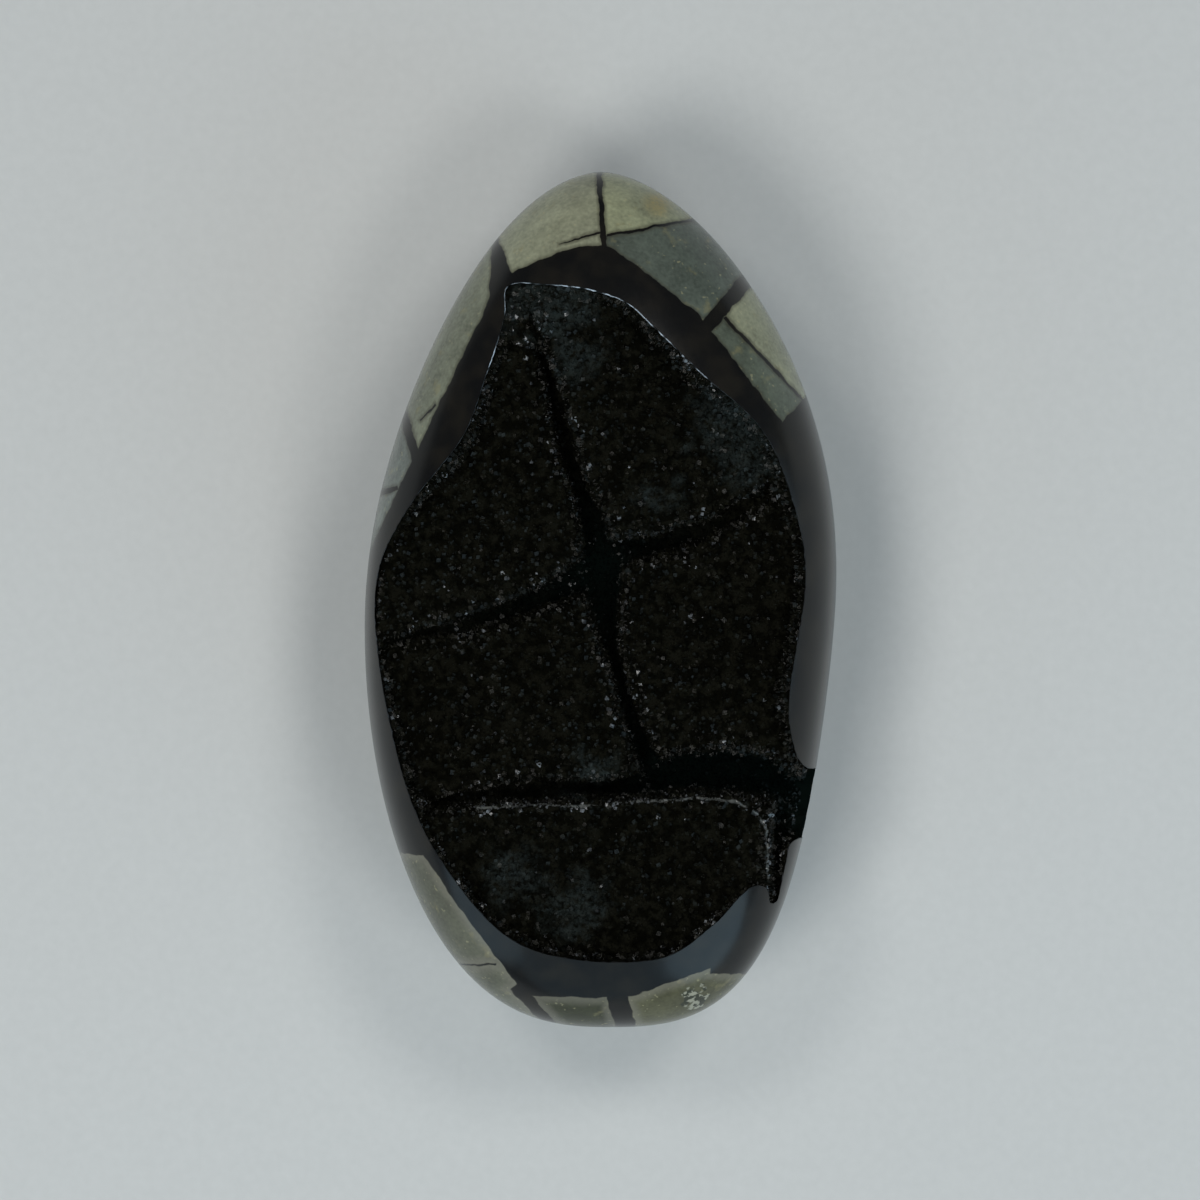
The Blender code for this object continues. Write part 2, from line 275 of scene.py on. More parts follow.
class Wire:
    """A value in a node tree. Sums written with it add Math nodes, and node() adds any other kind."""

    def __init__(self, tree, end=None):
        self.tree = tree
        self.end = end

    def node(self, kind, settings=None, sockets=None, output=0):
        made = self.tree.nodes.new(kind)
        for name, value in (settings or {}).items():
            setattr(made, name, value)
        for name, value in (sockets or {}).items():
            if isinstance(value, Wire):
                self.tree.links.new(value.end, made.inputs[name])
            else:
                made.inputs[name].default_value = value
        return Wire(self.tree, made.outputs[output] if made.outputs else made)

    def maths(self, operation, *values):
        return self.node("ShaderNodeMath", {"operation": operation}, dict(enumerate(values)))

    def __add__(self, other):
        return self.maths("ADD", self, other)

    def __radd__(self, other):
        return self.maths("ADD", other, self)

    def __sub__(self, other):
        return self.maths("SUBTRACT", self, other)

    def __rsub__(self, other):
        return self.maths("SUBTRACT", other, self)

    def __mul__(self, other):
        return self.maths("MULTIPLY", self, other)

    def __rmul__(self, other):
        return self.maths("MULTIPLY", other, self)


def new_material(name, ior, gloss=0.5):
    """A Principled material, with a wire to start from and its shader node."""
    material = bpy.data.materials.new(name)
    material.use_nodes = True
    shader = material.node_tree.nodes["Principled BSDF"]
    shader.inputs["IOR"].default_value = ior
    shader.inputs["Specular IOR Level"].default_value = gloss
    return material, Wire(material.node_tree), shader


def connect(shader, **wires):
    """Joins each wire to the shader's socket of that name, its underscores read as spaces."""
    for name, wire in wires.items():
        wire.tree.links.new(wire.end, shader.inputs[name.replace("_", " ")])


def vectors(operation, first, *others, output=0):
    """A Vector Math node. Its output 1 is the number that a distance or a dot product gives."""
    values = dict(enumerate((first, *others)))
    return first.node("ShaderNodeVectorMath", {"operation": operation}, values, output)


def least(first, *others):
    """The smallest of these values at each place."""
    for other in others:
        first = first.maths("MINIMUM", first, other)
    return first


def greatest(first, *others):
    """The largest of these values at each place."""
    for other in others:
        first = first.maths("MAXIMUM", first, other)
    return first


def smooth_step(value, low, high):
    """0 where the value is below low and 1 where it is above high, or the other way round."""
    settings = {"interpolation_type": "SMOOTHSTEP"}
    return value.node("ShaderNodeMapRange", settings, {0: value, 1: low, 2: high, 3: 0.0, 4: 1.0})


def blend(base, top, mask):
    """Lays the top colour over the base one where the mask is 1."""
    base, top = (colour if isinstance(colour, Wire) else (*colour, 1) for colour in (base, top))
    return mask.node("ShaderNodeMix", {"data_type": "RGBA"}, {0: mask, 6: base, 7: top}, output=2)


def speckle(place, size, detail=2.0, output=0):
    """Smooth noise with lumps about this many mm across."""
    sockets = {"Vector": place, "Scale": 1 / size, "Detail": detail}
    return place.node("ShaderNodeTexNoise", sockets=sockets, output=output)


def bumped(relief, height, strength):
    """Normals that show this relief, with 1 in it this many mm high."""
    sockets = {"Height": relief, "Distance": height * MM, "Strength": strength}
    return relief.node("ShaderNodeBump", sockets=sockets)


def place_in_mm(start):
    """Object coordinates in mm, with heights above the widest level."""
    place = start.node("ShaderNodeTexCoord", output=3)
    sockets = {0: place, "Location": (0, 0, -WIDEST_LEVEL), "Scale": (1 / MM,) * 3}
    return start.node("ShaderNodeMapping", sockets=sockets)


def height_of(place):
    return place.node("ShaderNodeSeparateXYZ", sockets={0: place}, output=2)


def nearness(place, x, y):
    """Distance in plan from this point."""
    flat = vectors("MULTIPLY", place, (1, 1, 0))
    return vectors("DISTANCE", flat, (x, y, 0), output=1)


def warped(place, size, distance):
    """The place, strayed by up to about this distance."""
    swirl = vectors("SUBTRACT", speckle(place, size, 3.0, 1), (0.5,) * 3)
    return vectors("MULTIPLY_ADD", swirl, (2 * distance,) * 3, place)


def beside(place, start, end):
    """Distance to the left of the line from start to end, and how far along it, in plan."""
    run = Vector(end) - Vector(start)
    sides = []
    for way in (Vector((-run.y, run.x)).normalized(), run.normalized()):
        reached = vectors("DOT_PRODUCT", place, (*way, 0), output=1)
        sides.append(reached - way.dot(Vector(start)))
    return sides


def seen(red, green, blue):
    """The colour of a matt surface that looks like this on the screen, from 0 to 255, under the lamps."""
    return tuple(((value / 255 + 0.055) / 1.055) ** 2.4 / LAMP_LEVEL for value in (red, green, blue))


def front_calcite(place, above_belt):
    """Distance inside the band and the veins of the front, and to the left of each vein's middle."""
    calcite = above_belt
    for start, end in CORE_SIDES:
        calcite = calcite.maths("SMOOTH_MIN", calcite, beside(place, start, end)[0], CORE_ROUNDING)
    sides = {}
    for name, (start, end, first, last) in VEINS.items():
        across, along = beside(place, start, end)
        sides[name] = across
        length = (Vector(end) - Vector(start)).length
        half = along * ((last - first) / 2 / length) + first / 2
        vein = least(half - across.maths("ABSOLUTE", across), along, above_belt)
        if name in SHORT_VEINS:
            vein = least(vein, length - along)
        calcite = greatest(calcite, vein)
    return calcite, sides


def back_cell(swirl, feature, output=0):
    """Which of the back's rounded panels each place is in, or its distance from the panel's edge."""
    sockets = {"Vector": swirl, "Scale": 1 / BACK_PANEL, "Randomness": 1.0}
    return swirl.node("ShaderNodeTexVoronoi", {"feature": feature}, sockets, output)


def back_calcite(place, swirl, above_belt):
    """Distance inside the belt round the egg and the veins between the panels of its back."""
    belt = BELT_WIDTH / 2 - above_belt.maths("ABSOLUTE", above_belt)
    below = smooth_step(above_belt, 0.0, -3.0)
    width = speckle(place, BACK_VEIN_SIZE, 1.0) * (2 * BACK_VEIN) * below
    edge = back_cell(swirl, "DISTANCE_TO_EDGE") * BACK_PANEL
    vein = width - edge - smooth_step(above_belt, -2.5, -0.5) * 2
    return greatest(belt, vein)


def left_of(side):
    return smooth_step(side, -PANEL_EDGE, PANEL_EDGE)


def right_of(side):
    return smooth_step(side, PANEL_EDGE, -PANEL_EDGE)


def panel_tone(strayed, swirl, above_belt, sides, upper):
    """The colour of the panel of mudstone that each place is in."""
    tone = {name: seen(*colour) for name, colour in TONES.items()}
    right, past_wedge = right_of(sides["tip"]), right_of(sides["right_wedge"])
    top = blend(tone["tip_left"], tone["tip_right"], right)
    top = blend(top, tone["below_tip"], right * right_of(sides["tip_right"]))
    top = blend(top, tone["right_bright"], past_wedge)
    top = blend(top, tone["right_dim"], past_wedge * right_of(sides["right_thin"]))
    top = blend(top, tone["left"], left_of(sides["left_wedge"]))
    top = blend(top, tone["left_low"], left_of(sides["left_side"]))
    lower = blend(tone["bottom_left"], tone["bottom"], left_of(beside(strayed, *BOTTOM_DIVIDE)[0]))
    lower = blend(lower, tone["bottom_right"], left_of(sides["bottom"]))
    cell = back_cell(swirl, "F1", 1)
    dim = cell.node("ShaderNodeSeparateColor", sockets={0: cell})
    back = blend(tone["back"], tone["back_dim"], dim)
    return blend(blend(lower, top, upper), back, right_of(above_belt))


def marked(mud, place, grain, blotch, front):
    """The mudstone with its specks and smears, the yellow stain and the chipped spot."""
    for size, detail, steps, colour, share in MARKS.values():
        mud = blend(mud, seen(*colour), smooth_step(speckle(place, size, detail), *steps) * share)
    *stain, radius = YELLOW_STAIN
    yellow = smooth_step(radius - nearness(place, *stain) + blotch * 2, 0, 3)
    mud = blend(mud, seen(*STAIN_COLOUR), yellow * grain * 1.1)
    *chip, radius = BOTTOM_CHIP
    ragged = (speckle(place, 1.5, 4.0) - 0.5) * CHIP_RAGGED
    chipped = smooth_step(radius - nearness(place, *chip) + ragged, 0, 0.6) * front
    fissured = smooth_step(speckle(place, 0.9, 3.0), 0.44, 0.52)
    return blend(mud, blend(seen(*CHIP_PALE), seen(*CHIP_DARK), fissured), chipped * 0.85)


def make_stone():
    """The polished stone, with its panels, veins and band in one material."""
    material, start, shader = new_material("polished_septarian_stone", STONE_IOR, STONE_GLOSS)
    place = place_in_mm(start)
    swirl = warped(place, BACK_STRAY_SIZE, BACK_STRAY)
    deep = smooth_step(height_of(place), *BACK_STARTS)
    strayed = warped(place, VEIN_STRAY_SIZE, VEIN_STRAY)
    strayed = deep.node("ShaderNodeMix", {"data_type": "VECTOR"}, {0: deep, 4: strayed, 5: swirl}, output=1)
    above_belt = vectors("DOT_PRODUCT", strayed, (*BELT_TILT, 1), output=1) - BELT_LEVEL
    front = smooth_step(above_belt, 0.0, 1.0)
    upper = smooth_step(beside(strayed, (0, 0), (1, 0))[0], -1.0, 1.0)
    calcite, sides = front_calcite(strayed, above_belt)
    calcite = greatest(calcite, back_calcite(place, swirl, above_belt))
    is_calcite = smooth_step(calcite, -VEIN_EDGE, VEIN_EDGE)

    grain = speckle(place, GRAIN_SIZE, 4.0)
    blotch = speckle(place, BLOTCH_SIZE, 2.0)
    shade = speckle(place, CLOUD_SIZE, 3.0) * CLOUD_SHARE + blotch * BLOTCH_SHARE + grain * GRAIN_SHARE
    mud = vectors("MULTIPLY", panel_tone(strayed, swirl, above_belt, sides, upper), shade + SHADE_SHIFT)
    mud = marked(mud, place, grain, blotch, front)
    pale_edge = smooth_step(calcite, *PALE_EDGE) * (1 - upper) * front
    dark_edge = smooth_step(calcite, *DARK_EDGE) * (1 - is_calcite) * upper
    mud = blend(mud, seen(*PALE_EDGE_COLOUR), pale_edge * PALE_EDGE_SHARE)
    mud = blend(mud, seen(*DARK_EDGE_COLOUR), dark_edge * DARK_EDGE_SHARE)
    bands = smooth_step(speckle(place, 5, 2.0), 0.35, 0.75)
    dark = blend(seen(*BLACK_CALCITE), seen(*BROWN_CALCITE), bands)
    polish = (grain - 0.5) * POLISH_SPREAD - is_calcite * CALCITE_SMOOTHER + MUD_ROUGHNESS
    pits = smooth_step(speckle(place, 0.45, 1.0), 0.7, 0.78)
    relief = (grain * GRAIN_RELIEF - pits * PIT_DEPTH) * (1 - is_calcite)
    relief = relief + speckle(place, 6, 2.0) * WAVE_RELIEF
    colour = blend(mud, dark, is_calcite)
    connect(shader, Base_Color=colour, Roughness=polish, Normal=bumped(relief, 1, 0.35))
    return material


stone = make_stone()
nodule = make_egg("polished_nodule")
nodule.data.materials.append(stone)

# The hollow
# A void left open where the cracks met in the middle of the concretion. Five cracks part its floor
# into blocks of mudstone, and grinding the front away opened it along an irregular lip.
RIM = [
    (-13.9, 47.2),
    (-7.7, 47.3),
    (-1.5, 46.5),
    (3.9, 44.5),
    (8.1, 40.8),
    (15.3, 33.8),
    (24.3, 25.5),
    (29.0, 14.6),
    (30.9, 3.0),
    (28.5, -13.8),
    (28.9, -21.0),
    (31.0, -25.2),
    (37.0, -26.5),
    (36.5, -35.4),
    (29.4, -36.4),
    (28.1, -39.6),
    (27.3, -43.4),
    (26.7, -45.6),
    (25.6, -45.8),
    (25.0, -43.6),
    (23.0, -43.2),
    (20.9, -44.8),
    (16.9, -49.0),
    (9.0, -54.0),
    (-4.3, -54.1),
    (-14.5, -50.4),
    (-23.6, -39.9),
    (-29.3, -28.2),
    (-33.4, -10.0),
    (-33.7, 3.7),
    (-28.7, 14.2),
    (-20.8, 24.3),
    (-17.1, 34.0),
    (-14.6, 42.0),
]
BLOCKS = {
    "upper_right": (8, 22, 10.0, -0.16, 0.06),
    "upper_left": (-14, 16, 9.0, 0.08, 0.05),
    "right": (16, -8, 7.5, -0.06, 0.02),
    "lower_left": (-14, -16, 7.4, 0.14, -0.02),
    "bottom": (0, -43, 9.4, 0.03, 0.09),
    "side_step": (30, -38, 1.6, -0.10, 0.0),
}
LONG_CRACK = [
    (-12.4, 46.0, 1.0, 8.5),
    (-9.2, 37.9, 1.4, 6.5),
    (-7.4, 32.6, 1.6, 5.2),
    (-5.9, 26.5, 1.8, 4.2),
    (-4.4, 20.5, 1.9, 3.0),
    (-2.4, 15.1, 2.2, 1.8),
    (-0.6, 9.8, 3.1, 0.6),
    (0.0, 5.4, 4.4, -0.4),
    (0.6, -0.5, 3.0, 0.2),
    (1.3, -6.4, 1.8, 1.2),
    (3.0, -13.0, 1.6, 2.0),
    (4.8, -18.6, 1.8, 1.4),
    (7.0, -24.0, 2.3, 0.2),
    (9.2, -27.2, 3.0, -0.8),
]
LEFT_CRACK = [
    (-33.5, -6.8, 0.8, 2.6),
    (-29.7, -5.7, 1.1, 2.6),
    (-22.9, -4.2, 1.4, 2.4),
    (-15.3, -2.1, 1.7, 1.8),
    (-8.4, 0.7, 2.1, 0.8),
    (0.0, 5.0, 3.7, -0.4),
]
RIGHT_CRACK = [
    (0.0, 5.4, 3.6, -0.4),
    (4.0, 7.6, 2.6, 0.8),
    (9.8, 8.5, 2.0, 1.6),
    (15.1, 10.4, 1.9, 2.4),
    (20.5, 13.2, 1.7, 3.2),
    (25.0, 15.9, 1.4, 4.0),
    (28.8, 17.4, 1.0, 5.0),
]
LOW_CRACK = [
    (-27.5, -31.9, 1.0, 3.8),
    (-21.4, -30.2, 1.4, 3.6),
    (-15.3, -29.2, 1.8, 3.0),
    (-7.7, -28.7, 2.0, 2.6),
    (0.0, -28.6, 2.1, 2.2),
    (5.0, -28.0, 2.4, 1.0),
    (9.2, -26.6, 3.2, -0.6),
    (13.6, -25.8, 3.9, -0.8),
    (19.7, -26.0, 4.0, -1.0),
    (25.0, -26.8, 3.9, -1.0),
    (30.0, -28.4, 4.0, -1.0),
    (36.0, -30.6, 4.2, -1.0),
]
SIDE_CRACK = [
    (28.6, -29.0, 2.4, 0.0),
    (27.6, -35.5, 1.8, 0.8),
    (26.8, -39.6, 1.1, 2.4),
    (26.2, -43.5, 0.5, 4.4),
]
CRACKS = [LONG_CRACK, LEFT_CRACK, RIGHT_CRACK, LOW_CRACK, SIDE_CRACK]
CRUST = 1.5
LIP = 3.6
LID = FRONT_BULGE + 3
SILL = -1.0
SILL_LUMPS = 0.4
WALL_RUN = 0.6
WALL_SHARE = 0.32
SHOULDER_DROP = 1.0
SHOULDER_WIDTH = 3.2
LUMPS = [(11, 0.5), (4.2, 0.35), (1.9, 0.16)]
CRACK_STRAY = 0.5
CRACK_STRAY_SIZE = 3.5
RIM_SPACING = 0.45
RIM_CHIP = 0.16
FRESH_CHIP = 0.55
# Where the lip is freshly chipped: deeper chips, and white bruises that are partly a painted glint.
FRESH_CHIPS_AND_GLINT = [(6, 42, 14.5), (-13.5, 46.5, 4.5), (-15.8, 36.5, 3.5)]
CUTTER_SPACING = 0.8
HOLLOW_LOW = (-36, -57)
HOLLOW_HIGH = (38, 50)
LEVELS = [("lid", LID, 0), ("brim", 0.5, 0), ("lip", -0.15, 0.08), ("chip", -0.5, 0.3), ("foot", -8, 0.3)]
NARROW = 5
NEIGHBOURS = 2.2
AIR_TOP = LID - 1.0
CALCITE_IOR = 1.55
LEDGE = [
    (-18.6, -31.5, 0, 0),
    (-9.0, -30.9, 0, 0),
    (-3.0, -31.2, 0, 0),
    (3.0, -30.6, 0, 0),
    (9.0, -30.3, 0, 0),
    (14.5, -29.9, 0, 0),
    (20.3, -30.4, 0, 0),
    (23.6, -32.2, 0, 0),
    (25.1, -35.0, 0, 0),
    (25.3, -42.0, 0, 0),
]
# The ledge's painted highlight: a pale bluish line painted along the lip of the bottom block.
LEDGE_HIGHLIGHT_WIDTH = 0.14
LEDGE_HIGHLIGHT_RAGGED = 1.0
LEDGE_HIGHLIGHT_EDGE = 0.12
LEDGE_HIGHLIGHT_COLOUR = (0.085, 0.092, 0.09)
# Painted shade in the cracks: the colour they darken to, and the heights over which it fades.
CRACK_SHADOW_COLOUR = (0.0019, 0.0038, 0.0033)
CRACK_SHADE = (0.5, 6.0)
# Painted reflection: paler, bluer patches on the hollow's crystals, as if their slopes mirrored the low
# lamps.
SHEEN_COLOUR = (0.023, 0.03, 0.0295)
SHEEN_RAGGED = 14
SHEEN_EDGE = 2.5
SHEEN_PATCHES = [
    (-6.5, 45.5, 6.0),
    (-12.5, 44.5, 3.0),
    (-3.5, 36.5, 3.0),
    (20.0, 27.0, 5.5),
    (22.0, 22.0, 4.0),
    (8.6, 15.0, 2.0),
    (-1.0, -26.5, 2.2),
    (-4.0, -46.0, 4.0),
    (-13.0, -41.5, 3.6),
]
BRUISED_DEPTH = 1
BRUISE_SHADOW = (0.01, 0.011, 0.012)
# The white of the fresh bruises, partly a painted glint.
BRUISE_WHITE_AND_GLINT = (0.75, 0.82, 0.9)


def noise_at(x, y, size, seed=0):
    """Smooth noise from -1 to 1 over the plan."""
    return np.array([noise.noise(Vector((a / size, b / size, seed))) for a, b in zip(x, y)])


def smooth_loop(corners, spacing):
    """A closed smooth curve through these corners, as points about this far apart."""
    points = []
    for i in range(len(corners)):
        a, b, c, d = (np.array(corners[(i + k) % len(corners)], float) for k in (-1, 0, 1, 2))
        steps = max(1, round(np.linalg.norm(c - b) / spacing))
        for t in np.arange(steps) / steps:
            rounded = (c - a) * t + (2 * a - 5 * b + 4 * c - d) * t**2
            points.append(b + (rounded + (3 * b - a - 3 * c + d) * t**3) / 2)
    return np.array(points)


def inset(loop, distance):
    """The same clockwise loop, drawn in by this distance."""
    along = np.roll(loop, -1, 0) - np.roll(loop, 1, 0)
    along /= np.linalg.norm(along, axis=1)[:, None]
    return loop + np.column_stack([along[:, 1], -along[:, 0]]) * np.reshape(distance, (-1, 1))


def room_at(loop, spacing):
    """How wide the hollow is at each point of the lip, as a share of NARROW, from 0 to 1."""
    count = len(loop)
    apart = np.linalg.norm(loop[:, None] - loop[None], axis=2)
    steps = np.abs(np.subtract.outer(np.arange(count), np.arange(count)))
    apart[np.minimum(steps, count - steps) * spacing < NEIGHBOURS] = NARROW
    return np.clip(apart.min(1) / NARROW, 0, 1) ** 2


def inside_rim(x, y):
    """Distance from the lip, above 0 inside the hollow."""
    loop = smooth_loop(RIM, 2)
    nearest = np.full(len(x), 1e9)
    inside = np.zeros(len(x), bool)
    for a, b in zip(loop, np.roll(loop, -1, 0)):
        run = b - a
        share = np.clip(((x - a[0]) * run[0] + (y - a[1]) * run[1]) / run.dot(run), 0, 1)
        nearest = np.minimum(nearest, np.hypot(a[0] + run[0] * share - x, a[1] + run[1] * share - y))
        if a[1] != b[1]:
            crossed = (a[1] > y) != (b[1] > y)
            inside ^= crossed & (x < a[0] + run[0] * (y - a[1]) / run[1])
    return np.where(inside, nearest, -nearest)


def read_line(line, key, other, value):
    """Reads one column of a crack's stations where its column key has these values."""
    order = np.array(sorted(line, key=lambda station: station[key]))
    return np.interp(value, order[:, key], order[:, other])


def blocks_at(x, y):
    """The name of the block at each place, by the cracks that bound it."""
    low = y < read_line(LOW_CRACK, 0, 1, x)
    right = x > read_line(LONG_CRACK, 1, 0, y)
    lower = np.where(x > read_line(SIDE_CRACK, 1, 0, y), "side_step", "bottom")
    upper_right = np.where(y > read_line(RIGHT_CRACK, 0, 1, x), "upper_right", "right")
    upper_left = np.where(y > read_line(LEFT_CRACK, 0, 1, x), "upper_left", "lower_left")
    return np.where(low, lower, np.where(right, upper_right, upper_left))


def nearest_on(crack, x, y):
    """Distance from each place to a crack's middle line, with half its width and its floor there."""
    best = np.full((3, len(x)), 1e9)
    for a, b in zip(np.array(crack), np.array(crack)[1:]):
        run = (b - a)[:2]
        share = np.clip(((x - a[0]) * run[0] + (y - a[1]) * run[1]) / run.dot(run), 0, 1)
        distance = np.hypot(a[0] + run[0] * share - x, a[1] + run[1] * share - y)
        found = np.array([distance, a[2] + (b[2] - a[2]) * share, a[3] + (b[3] - a[3]) * share])
        best = np.where(distance < best[0], found, best)
    return best


def floor_height(x, y, coat):
    """Height of the hollow's floor under a coat of crystals this thick. The coat narrows each crack."""
    stray_x = CRACK_STRAY * noise_at(x, y, CRACK_STRAY_SIZE, 5.5)
    stray_y = CRACK_STRAY * noise_at(x, y, CRACK_STRAY_SIZE, 9.5)
    place = (x + stray_x, y + stray_y)
    names = blocks_at(*place)
    top = np.zeros(len(x))
    for name, (middle_x, middle_y, height, slope_x, slope_y) in BLOCKS.items():
        here = names == name
        top[here] = (height + (x - middle_x) * slope_x + (y - middle_y) * slope_y)[here]
    lumps = sum(rise * noise_at(x, y, size) for size, rise in LUMPS)
    top = np.maximum(np.minimum(top + lumps, dome(x, y) - LIP), SILL + lumps * SILL_LUMPS) + coat
    height = top
    for crack in CRACKS:
        distance, half, floor = nearest_on(crack, *place)
        lip = half + CRUST - coat
        foot = np.maximum(0, lip - np.maximum(WALL_RUN, half * WALL_SHARE))
        shoulder = np.maximum(0, 1 - np.maximum(0, distance - lip) / SHOULDER_WIDTH) ** 2 * SHOULDER_DROP
        climb = np.clip((distance - foot) / (lip - foot), 0, 1)
        level = floor + coat + (top - shoulder - floor - coat) * climb
        height = np.minimum(height, level)
    return height


def add_grid(name, spacing):
    """A flat grid over the hollow, with faces about this wide."""
    size = np.subtract(HOLLOW_HIGH, HOLLOW_LOW)
    middle = np.add(HOLLOW_HIGH, HOLLOW_LOW) / 2
    counts = [round(side / spacing) for side in size]
    bpy.ops.mesh.primitive_grid_add(x_subdivisions=counts[0], y_subdivisions=counts[1], size=1)
    bpy.context.object.scale = (*(size * MM), 1)
    bpy.context.object.location = (*(middle * MM), WIDEST_LEVEL * MM)
    return new_piece(name)


def thicken_to(piece, height_at):
    """Extrudes the open sheet into a solid whose other side has this height."""
    bpy.ops.object.mode_set(mode="EDIT")
    bpy.ops.mesh.select_all(action="SELECT")
    bpy.ops.mesh.extrude_region_move()
    bpy.ops.object.mode_set(mode="OBJECT")
    x, y, z = corners_of(piece).T
    picked = np.empty(len(x), bool)
    piece.data.vertices.foreach_get("select", picked)
    z[picked] = height_at(x[picked], y[picked])
    move_corners(piece, (x, y, z))
    bpy.ops.object.mode_set(mode="EDIT")
    bpy.ops.mesh.select_all(action="SELECT")
    bpy.ops.mesh.normals_make_consistent(inside=False)
    bpy.ops.object.mode_set(mode="OBJECT")


def make_rim_plug():
    """A plug whose side follows the chipped lip, made from a strip that is rolled round to the rim."""
    chance = random.Random(3)
    rim = smooth_loop(RIM, RIM_SPACING)
    count = len(rim)
    room = room_at(rim, RIM_SPACING)
    rough = np.array([chance.uniform(-1, 1) for _ in rim]) * RIM_CHIP * room
    chips = np.array([chance.random() ** 3 for _ in rim]) * 3 * RIM_CHIP
    fresh = np.zeros(count)
    for x, y, radius in FRESH_CHIPS_AND_GLINT:
        fresh = np.maximum(fresh, np.clip(radius - np.hypot(*(rim - (x, y)).T), 0, 2) / 2)
    chips += FRESH_CHIP * fresh * np.array([chance.uniform(0.3, 1) for _ in rim])
    bpy.ops.mesh.primitive_grid_add(x_subdivisions=count, y_subdivisions=len(LEVELS) - 1, size=1)
    plug = new_piece("rim_plug")
    flat = (corners_of(plug) + (0, 0, WIDEST_LEVEL)) * MM
    column = np.round((flat[:, 0] + 0.5) * count).astype(int) % count
    row = np.round((flat[:, 1] + 0.5) * (len(LEVELS) - 1)).astype(int)
    places = np.zeros((len(flat), 3))
    for level, (name, height, draw) in enumerate(LEVELS):
        loop = inset(rim, (draw + (chips if name == "chip" else 0)) * room + rough)
        top = np.full(count, height) if name in ("lid", "foot") else dome(*loop.T) + height
        here = row == level
        places[here] = np.column_stack([loop, top])[column[here]]
    move_corners(plug, places.T)
    bpy.ops.object.mode_set(mode="EDIT")
    bpy.ops.mesh.select_all(action="SELECT")
    bpy.ops.mesh.remove_doubles(threshold=1e-6)
    bpy.ops.mesh.fill_holes(sides=0)
    bpy.ops.mesh.normals_make_consistent(inside=False)
    bpy.ops.object.mode_set(mode="OBJECT")
    return plug


def painted_sheen(place):
    """1 on the patches of the hollow that get a painted reflection, paler and bluer, as if their slopes
    mirrored the low lamps.
    """
    spread = (speckle(place, 3.5, 5.0) - 0.5) * SHEEN_RAGGED
    inside = greatest(*[radius - nearness(place, x, y) for x, y, radius in SHEEN_PATCHES])
    cover = smooth_step(inside + spread, -SHEEN_EDGE, SHEEN_EDGE)
    return cover * smooth_step(speckle(place, 0.9, 3.0), 0.3, 0.6)


def far_from(place, line):
    """Distance in plan from the nearest stretch of the line."""
    flat = vectors("MULTIPLY", place, (1, 1, 0))
    stretches = []
    for a, b in zip(line, line[1:]):
        start = Vector((*a[:2], 0))
        run = Vector((*b[:2], 0)) - start
        from_start = vectors("SUBTRACT", flat, start)
        share = vectors("DOT_PRODUCT", from_start, run / run.length_squared, output=1)
        foot = vectors("MULTIPLY", least(greatest(share, 0), 1), run)
        stretches.append(vectors("DISTANCE", from_start, foot, output=1))
    return least(*stretches)


def make_rough_calcite(name, dark, light, roughness, gloss):
    """Unpolished calcite, dark to light in patches, with a painted sheen, a painted ledge highlight and
    painted shade in the cracks.
    """
    material, start, shader = new_material(name, CALCITE_IOR, gloss)
    place = place_in_mm(start)
    patches = smooth_step(speckle(place, 1.6, 3.0), 0.42, 0.62)
    grain = speckle(place, 0.22, 2.0)
    colour = blend(dark, light, patches * grain * 1.6)
    # Painted reflection on the sheen patches.
    colour = blend(colour, SHEEN_COLOUR, painted_sheen(place) * (grain * 0.8 + 0.2))
    # Painted highlight along the ledge, broken into pieces.
    ragged = (speckle(place, 1.5, 4.0) - 0.5) * LEDGE_HIGHLIGHT_RAGGED
    ledge_highlight = smooth_step(LEDGE_HIGHLIGHT_WIDTH + ragged - far_from(place, LEDGE), -LEDGE_HIGHLIGHT_EDGE, LEDGE_HIGHLIGHT_EDGE)
    broken = smooth_step(speckle(place, 1.2, 3.0), 0.4, 0.52)
    colour = blend(colour, LEDGE_HIGHLIGHT_COLOUR, ledge_highlight * broken)
    # Painted shade: darker down in the cracks.
    colour = blend(CRACK_SHADOW_COLOUR, colour, smooth_step(height_of(place), *CRACK_SHADE))
    rough = (grain - 0.5) * 0.2 + roughness
    connect(shader, Base_Color=colour, Roughness=rough, Normal=bumped(grain, 0.12, 0.6))
    return material


def make_bruised_and_glinting_calcite():
    """The chipped lip of the hollow, white where its bruises are fresh: partly the calcite's own bruised
    white, partly a painted glint along the lip.
    """
    material, start, shader = new_material("bruised_and_glinting_calcite", CALCITE_IOR)
    place = place_in_mm(start)
    inside = greatest(*[radius - nearness(place, x, y) for x, y, radius in FRESH_CHIPS_AND_GLINT])
    fresh = smooth_step(inside, 0, 2)
    patches = smooth_step(speckle(place, 1.3, 4.0), 0.4, 0.6)
    grain = speckle(place, 0.2, 2.0)
    # The white is partly real bruising and partly a painted glint on the lip.
    colour = blend(BRUISE_SHADOW, BRUISE_WHITE_AND_GLINT, patches * (fresh * 0.9 + 0.08))
    connect(shader, Base_Color=colour, Roughness=grain * 0.3 + 0.2, Normal=bumped(grain, 0.1, 0.5))
    return material


